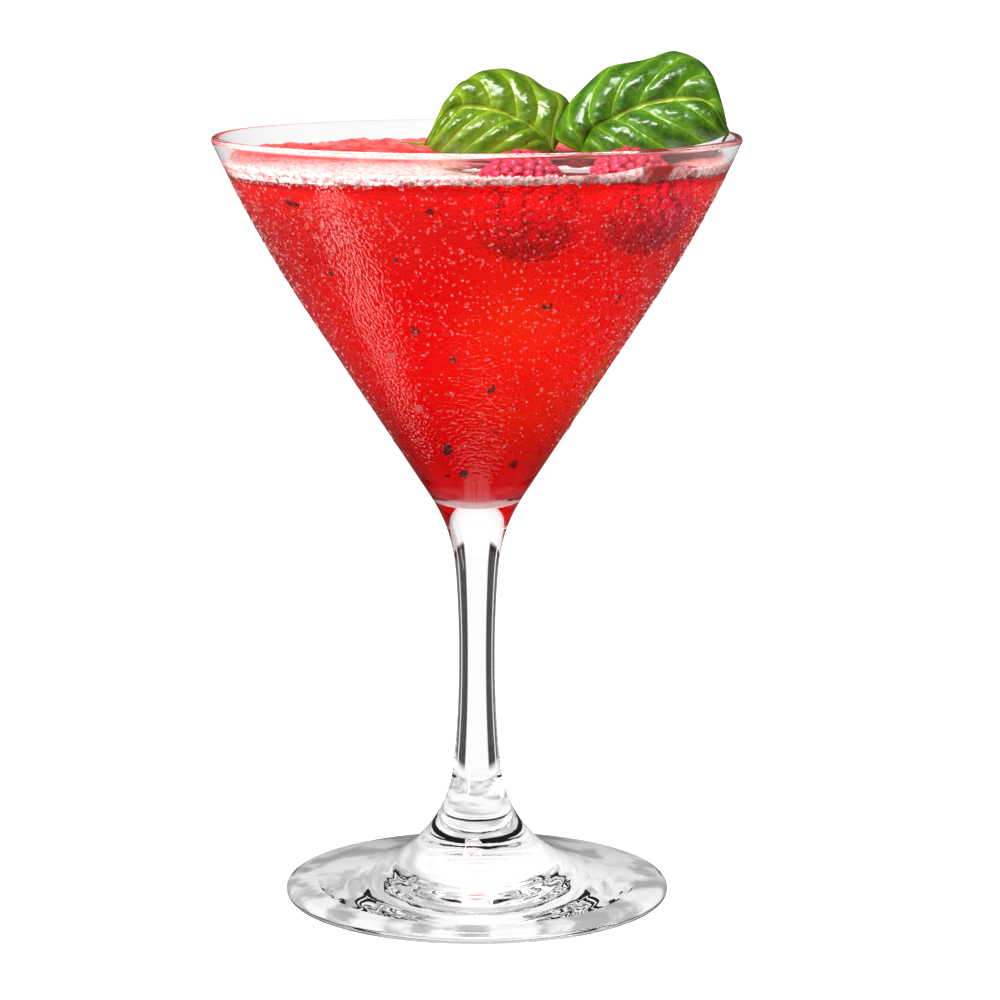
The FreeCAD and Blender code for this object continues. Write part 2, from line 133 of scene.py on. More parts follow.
# ---------------------------------------------------------------- finishes


class NodeSheet:
    """A node tree being drawn: adds nodes and joins their sockets."""

    def __init__(self, tree: NodeTree) -> None:
        """Starts on a tree."""
        self.tree = tree

    def add(self, kind: str, inputs: dict | None = None, **settings) -> bpy.types.Node:
        """Adds one node.

        Args:
            kind: its type, without the ShaderNode in front.
            inputs: socket name or number to a value or a socket.
            settings: properties of the node itself.

        Returns:
            The node.
        """
        node = self.tree.nodes.new("ShaderNode" + kind)
        for key, value in settings.items():
            setattr(node, key, value)
        for key, value in (inputs or {}).items():
            self.feed(node.inputs[key], value)
        return node

    def feed(self, socket: NodeSocket, value) -> None:
        """Sets a socket's value, or joins another socket to it."""
        if isinstance(value, NodeSocket):
            self.tree.links.new(value, socket)
        else:
            socket.default_value = value

    def math(self, operation: str, first, second=0.0, third=0.0, clamp: bool = False) -> NodeSocket:
        """One sum on values or sockets, and its result."""
        node = self.add("Math", {0: first, 1: second, 2: third}, operation=operation, use_clamp=clamp)
        return node.outputs[0]

    def times(self, first, second) -> NodeSocket:
        """Two values multiplied."""
        return self.math("MULTIPLY", first, second)

    def scaled(self, value, factor, plus, clamp: bool = False) -> NodeSocket:
        """A value times a factor, plus another."""
        return self.math("MULTIPLY_ADD", value, factor, plus, clamp)

    def spread(self, value, low: float, high: float, first: float = 0.0, last: float = 1.0) -> NodeSocket:
        """A value's range mapped onto another range, smoothly and held at its ends."""
        inputs = {0: value, 1: low, 2: high, 3: first, 4: last}
        return self.add("MapRange", inputs, interpolation_type="SMOOTHSTEP").outputs[0]

    def blend(self, amount, first, second) -> NodeSocket:
        """Two colours mixed by an amount."""
        return self.add("Mix", {0: amount, 6: first, 7: second}, data_type="RGBA").outputs[2]

    def split(self, vector) -> bpy_prop_collection:
        """A vector's X, Y and Z."""
        return self.add("SeparateXYZ", {0: vector}).outputs

    def length(self, vector) -> NodeSocket:
        """A vector's length."""
        return self.add("VectorMath", {0: vector}, operation="LENGTH").outputs["Value"]

    def flat_radius(self, parts: bpy_prop_collection) -> NodeSocket:
        """How far out from the upright axis a point lies."""
        return self.length(self.add("CombineXYZ", {0: parts["X"], 1: parts["Y"]}).outputs[0])

    def away(self, place: NodeSocket, centre: tuple, stretch: tuple) -> NodeSocket:
        """How far from a centre a point lies, with each axis stretched."""
        offset = self.add("VectorMath", {0: place, 1: centre}, operation="SUBTRACT")
        return self.length(self.add("VectorMath", {0: offset.outputs[0], 1: stretch}, operation="MULTIPLY").outputs[0])


class Finish(NodeSheet):
    """A material with its shader, drawn node by node."""

    def __init__(self, name: str) -> None:
        """Makes the material with a plain shader."""
        self.material = bpy.data.materials.new(name)
        self.material.use_nodes = True
        super().__init__(self.material.node_tree)
        self.shader = self.tree.nodes["Principled BSDF"]

    def place(self) -> NodeSocket:
        """The point on the piece, in metres."""
        return self.add("TexCoord").outputs["Object"]

    def set(self, **values) -> None:
        """Sets or joins sockets of the shader, with _ for a space in a socket's name."""
        for key, value in values.items():
            self.feed(self.shader.inputs[key.replace("_", " ")], value)

    def clear(self, ior: float) -> None:
        """Makes the shader clear and smooth right through."""
        self.set(Roughness=0.0, IOR=ior, Transmission_Weight=1.0)

    def mottle(self, effects: SharedEffects, size: float, detail: float, contrast: float) -> NodeSocket:
        """A mask of soft uneven patches over the piece."""
        inputs = {"Place": self.place(), "Size": size, "Detail": detail, "Contrast": contrast}
        return self.add("Group", inputs, node_tree=effects.mottle).outputs["Mask"]

    def beads(self, effects: SharedEffects, size: float) -> bpy_prop_collection:
        """The height and the tops of beads packed over the piece."""
        return self.add("Group", {"Place": self.place(), "Size": size}, node_tree=effects.beads).outputs

    def bump(self, height, strength: float, distance: float) -> None:
        """Raises the surface by a height map."""
        node = self.add("Bump", {"Height": height, "Strength": strength, "Distance": distance})
        self.set(Normal=node.outputs[0])


def new_group(
    name: str, inputs: dict[str, tuple[str, float]], outputs: dict[str, str]
) -> tuple[NodeSheet, bpy_prop_collection, bpy_prop_collection]:
    """Starts a shared node group.

    Args:
        name: the group's name.
        inputs: input name to its socket kind and first value.
        outputs: output name to its socket kind.

    Returns:
        The sheet to draw its nodes on, and the sockets at its start and its end.
    """
    tree = bpy.data.node_groups.new(name, "ShaderNodeTree")
    for key, (kind, value) in inputs.items():
        socket = tree.interface.new_socket(key, in_out="INPUT", socket_type=kind)
        if kind != "NodeSocketVector":
            socket.default_value = value
    for key, kind in outputs.items():
        tree.interface.new_socket(key, in_out="OUTPUT", socket_type=kind)
    start, end = tree.nodes.new("NodeGroupInput"), tree.nodes.new("NodeGroupOutput")
    return NodeSheet(tree), start.outputs, end.inputs


class SharedEffects:
    """The surface effects that several finishes use, each built once."""

    def __init__(self) -> None:
        """Builds every group."""
        self.beads = self._beads()
        self.mottle = self._mottle()

    @staticmethod
    def _beads() -> NodeTree:
        """Small round beads of uneven size packed over a surface: a height and a mask of their tops."""
        sheet, start, end = new_group(
            "packed_beads",
            {"Place": ("NodeSocketVector", 0.0), "Size": ("NodeSocketFloat", 0.001)},
            {"Height": "NodeSocketFloat", "Tops": "NodeSocketFloat"},
        )
        scale = sheet.math("DIVIDE", 1.0, start["Size"])
        cells = sheet.add("TexVoronoi", {"Vector": start["Place"], "Scale": scale, "Randomness": 1.0})
        dome = sheet.math("SUBTRACT", 1.0, sheet.math("POWER", cells.outputs["Distance"], 2.0), clamp=True)
        sheet.tree.links.new(dome, end["Height"])
        sheet.tree.links.new(sheet.spread(cells.outputs["Distance"], 0.35, 0.05), end["Tops"])
        return sheet.tree

    @staticmethod
    def _mottle() -> NodeTree:
        """Soft uneven patches over a surface."""
        sheet, start, end = new_group(
            "soft_mottle",
            {
                "Place": ("NodeSocketVector", 0.0),
                "Size": ("NodeSocketFloat", 0.01),
                "Detail": ("NodeSocketFloat", 3.0),
                "Contrast": ("NodeSocketFloat", 0.2),
            },
            {"Mask": "NodeSocketFloat"},
        )
        scale = sheet.math("DIVIDE", 1.0, start["Size"])
        patches = sheet.add(
            "TexNoise", {"Vector": start["Place"], "Scale": scale, "Detail": start["Detail"]}
        )
        low = sheet.math("SUBTRACT", 0.5, start["Contrast"])
        high = sheet.math("ADD", 0.5, start["Contrast"])
        ramp = sheet.add("MapRange", {0: patches.outputs[0], 1: low, 2: high})
        sheet.tree.links.new(ramp.outputs[0], end["Mask"])
        return sheet.tree


@dataclass(frozen=True)
class ChilledGlass:
    """Clear glass, misted with dew where the cold drink stands behind it, with faint turned rings at its ankle."""

    name: str = "chilled_glass"
    wetted: bool = False
    dew_low: float = 0.094
    dew_high: float = 0.158
    dew_size: float = 0.00095
    dew_depth: float = 0.00032
    ring_pitch: float = 0.0042

    def make(self, effects: SharedEffects) -> Material:
        """Draws the finish; where the drink wets it, the glass hardly mirrors."""
        finish = Finish(self.name)
        place = finish.place()
        parts = finish.split(place)
        finish.clear(1.5)
        finish.set(Base_Color=WHITE)
        patches = finish.mottle(effects, 0.012, 4.0, 0.22)
        if self.wetted:
            finish.set(Specular_Tint=(0.75, 0.10, 0.10, 1.0))
            finish.bump(patches, 0.05, 0.0001)
            return finish.material
        dew = finish.beads(effects, self.dew_size)
        belt = finish.times(
            finish.spread(parts["Z"], self.dew_low, self.dew_low + 0.012),
            finish.spread(parts["Z"], self.dew_high + 0.008, self.dew_high),
        )
        cover = finish.times(belt, finish.scaled(patches, 0.6, 0.4))
        radius = finish.flat_radius(parts)
        worn = finish.scaled(patches, 0.0012, radius)
        rings = finish.math("SINE", finish.times(worn, math.tau / self.ring_pitch))
        ankle = finish.spread(radius, 0.022, 0.015, 0.12, 1.0)
        low = finish.times(finish.spread(parts["Z"], 0.030, 0.012), ankle)
        ringed = finish.times(rings, finish.times(low, 0.25))
        finish.bump(finish.scaled(dew["Height"], cover, ringed), 0.6, self.dew_depth)
        return finish.material


@dataclass(frozen=True)
class RedDrink:
    """A red fruit drink, clear, with a painted glow from inside, paler at the top and orange in the middle, and painted
    shade that darkens it towards the bottom.
    """

    soaks: tuple = (0.988, 0.20, 0.30, 1.0)
    strength: float = 280.0
    # The painted glow's colours: pale at the top, faint all through, orange in the middle.
    pale: tuple = (0.025, 0.007, 0.006, 1.0)
    painted_glow: tuple = (0.09, 0.014, 0.0, 1.0)
    faint_painted_glow: tuple = (0.012, 0.0, 0.0, 1.0)
    # Painted shade: the tint that darkens the drink towards the bottom.
    deep: tuple = (0.60, 0.40, 0.40, 1.0)
    glow_centre: tuple = (0.010, 0.0, 0.128)
    glow_stretch: tuple = (1.0, 0.0, 0.62)

    def make(self, effects: SharedEffects) -> Material:
        """Draws the finish; its emission is a painted glow from inside, lit by no lamp."""
        finish = Finish("red_drink")
        place = finish.place()
        parts = finish.split(place)
        # Painted glow: an emission, orange round a point in the middle and broken into patches, faint elsewhere.
        glow_patches = finish.mottle(effects, 0.02, 3.0, 0.25)
        fine = finish.mottle(effects, 0.0011, 2.0, 0.2)
        away = finish.away(place, self.glow_centre, self.glow_stretch)
        painted_glow = finish.times(finish.spread(away, 0.022, 0.004), glow_patches)
        colour = finish.blend(painted_glow, self.faint_painted_glow, self.painted_glow)
        # Painted glow: a paler, grainy emission towards the top.
        top = finish.spread(parts["Z"], 0.138, 0.162)
        grainy = finish.times(top, finish.scaled(fine, 0.8, 0.4))
        colour = finish.blend(grainy, colour, self.pale)
        finish.set(Emission_Color=colour, Emission_Strength=1.0, Specular_Tint=BLACK)
        # Painted shade: the drink is tinted darker towards the bottom.
        deep = finish.spread(parts["Z"], 0.130, 0.100)
        finish.set(Base_Color=finish.blend(deep, WHITE, self.deep))
        finish.clear(1.34)
        soak = finish.add("VolumeAbsorption", {"Color": self.soaks, "Density": self.strength})
        finish.tree.links.new(soak.outputs[0], finish.tree.nodes["Material Output"].inputs["Volume"])
        return finish.material


@dataclass(frozen=True)
class PinkFoam:
    """Fine pinkish froth, redder behind; bare and wet about the berries, with a painted glow underneath that stands in
    for light coming through from above.
    """

    name: str = "pink_foam"
    steeped_glowing: bool = False
    white: tuple = (1.0, 0.88, 0.86, 1.0)
    pink: tuple = (0.97, 0.58, 0.55, 1.0)
    red: tuple = (0.72, 0.035, 0.03, 1.0)
    bare: tuple = (0.30, 0.004, 0.002, 1.0)
    # Painted glow on the underside's bead tops, standing in for light that comes through the froth.
    painted_underglow: tuple = (0.62, 0.012, 0.010, 1.0)

    def make(self, effects: SharedEffects) -> Material:
        """Draws the finish."""
        finish = Finish(self.name)
        place = finish.place()
        parts = finish.split(place)
        froth = finish.beads(effects, 0.0011)
        # The steeped underside: red, with a painted glow as an emission, brightest on the bead tops.
        if self.steeped_glowing:
            colour = finish.blend(froth["Tops"], self.red, self.painted_underglow)
            finish.set(Base_Color=self.red, Roughness=0.6, Emission_Color=colour, Emission_Strength=1.0)
            return finish.material
        fine = finish.beads(effects, 0.0005)
        patches = finish.mottle(effects, 0.007, 4.0, 0.12)
        behind = finish.spread(parts["Y"], -0.030, 0.008)
        ruddy = finish.math("ADD", behind, finish.scaled(patches, 0.4, -0.2), clamp=True)
        colour = finish.blend(patches, self.pink, self.white)
        colour = finish.blend(ruddy, colour, self.red)
        pits = finish.spread(froth["Height"], 0.78, 0.5)
        colour = finish.blend(finish.times(pits, 0.5), colour, self.red)
        scale = BARE_SCALE / MM
        away = finish.away(place, (BARE_SPOT[0] * MM, BARE_SPOT[1] * MM, 0.0), (scale, scale, 0.0))
        away = finish.scaled(patches, 0.16, away)
        bare = finish.spread(away, 1.08, 0.92)
        colour = finish.blend(bare, colour, self.bare)
        rough = finish.scaled(fine["Tops"], -0.2, 0.42)
        frothy = finish.math("SUBTRACT", 1.0, bare)
        rough = finish.times(rough, frothy)
        finish.set(Base_Color=colour, Roughness=rough, Subsurface_Weight=0.1, Subsurface_Scale=0.002)
        height = finish.scaled(fine["Height"], 0.4, froth["Height"])
        finish.bump(finish.times(height, frothy), 0.8, 0.0005)
        return finish.material


@dataclass(frozen=True)
class BerrySkin:
    """Soft crimson raspberry skin: each bead a little different, with painted shade low down and between the beads, and
    a painted glow where it is sunk in the drink.
    """

    bright: tuple = (0.92, 0.010, 0.085, 1.0)
    # Painted shade low down on the berry, mixed with random tone.
    dark: tuple = (0.34, 0.001, 0.008, 1.0)
    bloom: tuple = (0.95, 0.14, 0.18, 1.0)
    # Painted shade between the beads.
    gap: tuple = (0.42, 0.0, 0.010, 1.0)
    # Painted glow where the berry is sunk in the drink.
    painted_sunk_glow: tuple = (0.40, 0.0, 0.07, 1.0)
    # Heights over which the painted shade low down fades.
    low: float = 0.150
    high: float = 0.163

    def make(self, effects: SharedEffects) -> Material:
        """Draws the finish; the map's U is how far out on its bead a point lies."""
        finish = Finish("berry_skin")
        place = finish.place()
        parts = finish.split(place)
        grain = finish.mottle(effects, 0.0011, 3.0, 0.2)
        shift = finish.mottle(effects, 0.004, 2.0, 0.25)
        # Painted shade: the tone is partly random and partly darker low down on the berry.
        height = finish.spread(parts["Z"], self.low, self.high)
        tone = finish.scaled(shift, 0.4, finish.times(height, 0.75), clamp=True)
        colour = finish.blend(tone, self.dark, self.bright)
        colour = finish.blend(finish.times(grain, 0.16), colour, self.bloom)
        rough = finish.scaled(grain, 0.18, 0.22)
        uv = finish.split(finish.add("TexCoord").outputs["UV"])
        # Painted shade: darker round the foot of each bead, where the beads meet.
        crown = finish.spread(uv["X"], 0.72, 0.88)
        colour = finish.blend(crown, self.gap, colour)
        # Painted glow: an emission below the drink's surface, dimmer low down and between the beads.
        painted_sunk_glow = finish.times(tone, finish.scaled(crown, 0.6, 0.4))
        painted_sunk_glow = finish.blend(painted_sunk_glow, (0.015, 0.0, 0.0, 1.0), self.painted_sunk_glow)
        sunk = finish.spread(parts["Z"], 0.1650, 0.1640)
        finish.set(Base_Color=colour, Roughness=rough, Coat_Weight=0.3, Emission_Color=painted_sunk_glow, Emission_Strength=sunk)
        finish.set(Subsurface_Weight=0.25, Subsurface_Scale=0.0015, Subsurface_Radius=(1.0, 0.15, 0.1))
        finish.bump(grain, 0.25, 0.0001)
        return finish.material


@dataclass(frozen=True)
class LeafSkin:
    """Glossy basil: yellow-green veins that follow the leaf, mottled green between them."""

    name: str = "leaf_skin"
    light: tuple = (0.065, 0.20, 0.001, 1.0)
    deep: tuple = (0.005, 0.040, 0.0005, 1.0)
    vein: tuple = (0.42, 0.52, 0.03, 1.0)

    def make(self, effects: SharedEffects) -> Material:
        """Draws the finish; the map runs along the leaf in U and across it in V."""
        finish = Finish(self.name)
        uv = finish.split(finish.add("TexCoord").outputs["UV"])
        across = finish.math("ABSOLUTE", finish.scaled(uv["Y"], 2.0, -1.0))
        swept = finish.times(finish.math("POWER", across, 1.25), SWEEP)
        along = finish.math("SUBTRACT", uv["X"], swept)
        step = finish.math("PINGPONG", finish.times(along, LATERALS), 0.5)
        side_vein = finish.spread(step, 0.045, 0.010)
        rib = finish.spread(across, 0.055, 0.020)
        net = finish.add("TexVoronoi", {"Vector": finish.place(), "Scale": 420.0}, feature="DISTANCE_TO_EDGE")
        fine_vein = finish.times(finish.spread(net.outputs["Distance"], 0.07, 0.01), 0.12)
        veins = finish.math("MAXIMUM", finish.math("MAXIMUM", finish.times(side_vein, 0.5), rib), fine_vein)
        patches = finish.mottle(effects, 0.006, 5.0, 0.2)
        between = finish.spread(step, 0.0, 0.5, 0.75, 0.1)
        tone = finish.scaled(patches, 0.5, between, clamp=True)
        colour = finish.blend(tone, self.deep, self.light)
        colour = finish.blend(finish.times(veins, 0.75), colour, self.vein)
        rough = finish.scaled(patches, 0.12, 0.22)
        finish.set(Base_Color=colour, Roughness=rough, Subsurface_Weight=0.08, Subsurface_Scale=0.001)
        finish.set(Coat_Weight=0.4, Coat_Roughness=0.12)
        grain = finish.scaled(net.outputs["Distance"], 0.6, finish.times(veins, -0.5))
        finish.bump(grain, 0.35, 0.0004)
        return finish.material


@dataclass(frozen=True)
class DarkSeed:
    """A hard dark seed with a brown cast."""

    black: tuple = (0.012, 0.003, 0.003, 1.0)
    brown: tuple = (0.10, 0.004, 0.003, 1.0)

    def make(self, effects: SharedEffects) -> Material:
        """Draws the finish."""
        finish = Finish("dark_seed")
        patches = finish.mottle(effects, 0.0012, 2.0, 0.2)
        finish.set(Base_Color=finish.blend(patches, self.black, self.brown), Roughness=0.4)
        finish.bump(patches, 0.3, 0.0001)
        return finish.material


@dataclass(frozen=True)
class ClearWater:
    """Clear water in drops, and the thin skin of bubbles."""

    name: str = "clear_water"
    ior: float = 1.33

    def make(self, effects: SharedEffects) -> Material:
        """Draws the finish."""
        finish = Finish(self.name)
        waves = finish.mottle(effects, 0.0015, 1.0, 0.4)
        finish.clear(self.ior)
        finish.set(Base_Color=WHITE)
        finish.bump(waves, 0.1, 0.00005)
        return finish.material


# ---------------------------------------------------------------- shapes


class Stroke:
    """A section drawn in the XZ plane as one pen stroke of straight runs and arcs that follow on."""

    def __init__(self, shape: BMesh, start: tuple[float, float], heading: float) -> None:
        """Puts the pen down at a point (radius, height) in millimetres, with a heading in degrees."""
        self.shape = shape
        self.tip = shape.verts.new((start[0] * MM, 0.0, start[1] * MM))
        self.heading = heading

    def run(self, length: float, steps: int = 1) -> Stroke:
        """Draws straight on for a length in millimetres."""
        angle = math.radians(self.heading)
        step = Vector((math.cos(angle), 0.0, math.sin(angle))) * (length * MM / steps)
        for _ in range(steps):
            grown = bmesh.ops.extrude_vert_indiv(self.shape, verts=[self.tip])["verts"][0]
            bmesh.ops.translate(self.shape, verts=[grown], vec=step)
            self.tip = grown
        return self

    def arc(self, radius: float, sweep: float, steps: int) -> Stroke:
        """Draws an arc that leaves the pen's heading smoothly.

        Args:
            radius: of the arc, in millimetres.
            sweep: how far it turns in degrees, to the left if over 0.
            steps: how many pieces it is drawn in.

        Returns:
            The stroke itself.
        """
        side = math.copysign(90.0, sweep)
        angle = math.radians(self.heading + side)
        centre = self.tip.co + Vector((math.cos(angle), 0.0, math.sin(angle))) * radius * MM
        spun = bmesh.ops.spin(
            self.shape,
            geom=[self.tip],
            cent=centre,
            axis=(0.0, -1.0, 0.0),
            angle=math.radians(sweep),
            steps=steps,
            use_duplicate=False,
        )
        self.tip = next(item for item in spun["geom_last"] if isinstance(item, BMVert))
        self.heading += sweep
        return self

    def to(self, radius: float, height: float) -> Stroke:
        """Draws straight to a point."""
        grown = bmesh.ops.extrude_vert_indiv(self.shape, verts=[self.tip])["verts"][0]
        grown.co = (radius * MM, 0.0, height * MM)
        self.tip = grown
        return self


def turn(shape: BMesh, steps: int) -> None:
    """Turns a section about the upright axis into a closed shape that faces outwards."""
    bmesh.ops.spin(
        shape,
        geom=shape.verts[:] + shape.edges[:],
        cent=(0.0, 0.0, 0.0),
        axis=(0.0, 0.0, 1.0),
        angle=math.tau,
        steps=steps,
        use_merge=True,
        use_duplicate=False,
    )
    bmesh.ops.remove_doubles(shape, verts=shape.verts, dist=1e-6)
    bmesh.ops.dissolve_degenerate(shape, dist=1e-7, edges=shape.edges)
    bmesh.ops.recalc_face_normals(shape, faces=shape.faces)


def set_down(shape: BMesh, verts: list[BMVert], stretch: tuple, turned: Matrix, spot: Vector) -> None:
    """Stretches a small thing made at the origin, turns it and moves it to its spot."""
    bmesh.ops.scale(shape, verts=verts, vec=stretch)
    bmesh.ops.rotate(shape, verts=verts, matrix=turned)
    bmesh.ops.translate(shape, verts=verts, vec=spot)


class Heap:
    """Many small shapes gathered into one, a batch at a time, which keeps the operators quick."""

    def __init__(self, batch: int = 30) -> None:
        """Starts an empty heap."""
        self.whole = bmesh.new()
        self.part = bmesh.new()
        self.batch = batch
        self.held = 0

    def next(self) -> BMesh:
        """The shape that the next small thing is made in."""
        if self.held == self.batch:
            self._tip()
        self.held += 1
        return self.part

    def _tip(self) -> None:
        """Moves the batch to the whole."""
        mesh = bpy.data.meshes.new("batch")
        self.part.to_mesh(mesh)
        self.whole.from_mesh(mesh)
        bpy.data.meshes.remove(mesh)
        self.part.clear()
        self.held = 0

    def done(self) -> BMesh:
        """Everything in one shape."""
        self._tip()
        self.part.free()
        return self.whole


@dataclass
class StemGlass:
    """The stemmed glass, one turned wall from its foot to its rim; sizes in millimetres and degrees."""

    wall: float = 1.8
    bead: float = 0.9
    bowl_angle: float = 33.2
    rim_angle: float = 24.3
    curve_radius: float = 268.9
    curve_centre: tuple[float, float] = (-187.156, 280.385)
    floor_radius: float = 14.5
    floor_centre: float = 105.076
    inner_cone: float = 44.213
    outer_cone: float = 50.21
    neck_radius: float = 34.5
    neck_sweep: float = 28.76
    waist_radius: float = 258.0
    waist_sweep: float = 10.12
    ankle_radius: float = 26.5
    ankle_sweep: float = 74.32
    foot_top: float = 14.735
    foot_slope: float = 10.0
    foot_edge: float = 1.7
    ring_inner: float = 35.3
    ring_width: float = 6.0
    kick: float = 1.2
    lip_share: float = 0.006
    edge_run: float = 0.3
    steps: int = 240

    def inner_face(self, shape: BMesh, reach: float, sweep: float) -> Stroke:
        """Draws the bowl's inside from the middle of its floor up.

        Args:
            shape: where it is drawn.
            reach: how far into the wall the line runs.
            sweep: how far the upper curve is followed, in degrees.

        Returns:
            The stroke, at its top.
        """
        radius = self.floor_radius + reach
        stroke = Stroke(shape, (0.0, self.floor_centre - radius), 0.0)
        stroke.arc(radius, 90.0 - self.bowl_angle, 18).run(self.inner_cone, 6)
        return stroke.arc(self.curve_radius - self.wall + reach, sweep, 12)

    def sweep_to(self, height: float, reach: float) -> float:
        """How far the upper curve is followed to come to a height."""
        radius = self.curve_radius - self.wall + reach
        return self.bowl_angle - math.degrees(math.asin((self.curve_centre[1] - height) / radius))

    def radius_at(self, height: float, depth: float = 0.0) -> float:
        """The bowl's radius at a height, at a depth in from its outer face."""
        low = self.curve_centre[1] - self.curve_radius * math.sin(math.radians(self.bowl_angle))
        if height > low:
            radius = self.curve_radius - depth
            return self.curve_centre[0] + math.sqrt(radius**2 - (height - self.curve_centre[1]) ** 2)
        start = self.curve_centre[0] + self.curve_radius * math.cos(math.radians(self.bowl_angle))
        slope = math.tan(math.radians(self.bowl_angle))
        return start - (low - height) * slope - depth / math.cos(math.radians(self.bowl_angle))

    def build(self, finish: Material, wetted: Material) -> Object:
        """Makes the glass, with its own finish where the drink wets it."""
        shape = bmesh.new()
        full = self.bowl_angle - self.rim_angle
        lip = full * self.lip_share
        stroke = self.inner_face(shape, 0.0, full - lip).arc(self.curve_radius - self.wall, lip, 1)
        stroke.arc(self.bead, -180.0, 16)
        stroke.arc(self.curve_radius, -lip, 1).arc(self.curve_radius, -(full - lip), 16)
        stroke.run(self.outer_cone, 6)
        stroke.arc(self.neck_radius, self.neck_sweep, 10)
        stroke.arc(self.waist_radius, self.waist_sweep, 14)
        stroke.arc(self.ankle_radius, self.ankle_sweep, 20)
        stroke.run(self.foot_top - self.edge_run, 4).run(self.edge_run)
        stroke.arc(self.foot_edge, -(180.0 - self.foot_slope), 16)
        stroke.run(self.edge_run).run(self.ring_width - self.edge_run, 2)
        for share in (0.75, 0.5, 0.25, 0.0):
            stroke.to(self.ring_inner * share, self.kick * (1.0 - share**2))
        turn(shape, self.steps)
        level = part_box("foam")[1][2] - 0.0005
        floor = (self.floor_centre - self.floor_radius - 0.1) * MM
        for face in shape.faces:
            middle = face.calc_center_median()
            inside = face.normal.dot(Vector((middle.x, middle.y, -0.02))) < 0.0
            face.material_index = int(inside and floor < middle.z < level)
        return publish("glass_piece", shape, finish, Slot.GLASS, "glass", extras=(wetted,))


@dataclass
class Drink:
    """What fills the bowl up to the froth; it reaches just into the wall so that no air shows between them."""

    glass: StemGlass
    reach: float = 0.25
    steps: int = 192

    def build(self, finish: Material) -> Object:
        """Makes the drink."""
        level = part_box("drink")[1][2] / MM + 0.5
        shape = bmesh.new()
        stroke = self.glass.inner_face(shape, self.reach, self.glass.sweep_to(level, self.reach))
        edge = stroke.tip.co.x / MM
        for share in (0.8, 0.6, 0.4, 0.2, 0.0):
            stroke.to(edge * share, level)
        turn(shape, self.steps)
        return publish("drink_piece", shape, finish, Slot.DRINK, "drink")


@dataclass
class Foam:
    """The froth on the drink: an uneven skin with a ragged lower edge at the glass."""

    glass: StemGlass
    reach: float = 0.45
    rings: int = 30
    steps: int = 420

    def thickness(self, bearing: float) -> float:
        """How far the froth hangs down at the glass at a bearing from the front, in degrees, to the right over 0."""
        left = math.exp(-(((bearing + 62.0) / 46.0) ** 2))
        clump = math.exp(-(((bearing - 42.0) / 10.0) ** 2))
        right = math.exp(-(((bearing - 78.0) / 24.0) ** 2))
        back = 0.5 * (1.0 - math.cos(math.radians(bearing)))
        return 1.7 + 1.2 * left + 0.6 * clump + 0.4 * right + 0.4 * back

    def build(self, finish: Material, steeped_glowing: Material) -> Object:
        """Makes the froth, with its own finish underneath, which carries a painted glow."""
        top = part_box("foam")[1][2] / MM
        shape = bmesh.new()
        edge = self.glass.radius_at(top, self.glass.wall - self.reach)
        stroke = Stroke(shape, (0.0, top), 0.0)
        stroke.run(edge, self.rings)
        stroke.to(edge - 0.2, top - 0.5)
        stroke.to(edge - 0.45, top - 1.0)
        for ring in range(self.rings - 1, -1, -1):
            stroke.to((edge - 0.9) * ring / (self.rings - 1), top - 1.0)
        turn(shape, self.steps)
        for vert in shape.verts:
            self._settle(vert, top)
        bmesh.ops.recalc_face_normals(shape, faces=shape.faces)
        for face in shape.faces:
            middle = face.calc_center_median()
            face.material_index = int(face.normal.z < -0.3 and middle.xy.length < 0.050)
        return publish("foam_piece", shape, finish, Slot.FOAM, "foam", extras=(steeped_glowing,))

    def _settle(self, vert: BMVert, top: float) -> None:
        """Moves one point of the flat skin to its place in the froth."""
        spot = vert.co / MM
        radius = math.hypot(spot.x, spot.y)
        bearing = math.degrees(math.atan2(spot.x, -spot.y))
        flat = Vector((spot.x, spot.y, 0.0))
        if spot.z > top - 0.01:
            lumps = 0.7 * wander(flat, 5.0) + 0.4 * wander(flat, 1.7, 3.0) + 0.18 * wander(flat, 0.8, 6.0)
            wall = max(0.0, 1.0 - (self.glass.radius_at(top, self.glass.wall) - radius) / 2.5)
            clump = 0.9 * math.exp(-(((bearing - 42.0) / 9.0) ** 2)) * max(0.0, radius / 50.0) ** 6
            behind = 0.25 + 0.75 * min(1.0, max(0.0, (spot.y + 30.0) / 40.0))
            bare = math.hypot((spot.x - BARE_SPOT[0]) * BARE_SCALE, (spot.y - BARE_SPOT[1]) * BARE_SCALE)
            bare = min(1.0, max(0.0, (1.15 - bare) / 0.25)) * min(1.0, max(0.0, (53.0 - radius) / 2.0))
            froth = top - 1.0 + 0.9 * behind * lumps + 0.6 * behind + 0.5 * wall + clump
            vert.co.z = (froth * (1.0 - bare) + (top - 1.65) * bare) * MM
            return
        drop = self.thickness(bearing) * min(1.0, radius / 48.0)
        ragged = 0.45 * wander(flat, 2.2, 9.0) + 0.3 * wander(flat, 0.9, 12.0)
        low = top - drop + ragged if spot.z < top - 0.75 else top - 0.5 * drop
        if radius < 52.0:
            low = min(low, top - 2.3)
        if radius > 40.0:
            limit = self.glass.radius_at(low, self.glass.wall - self.reach)
            scale = min(1.0, limit / radius) if spot.z < top - 0.75 else limit / radius
            spot.x, spot.y = spot.x * scale, spot.y * scale
        vert.co = (spot.x * MM, spot.y * MM, low * MM)


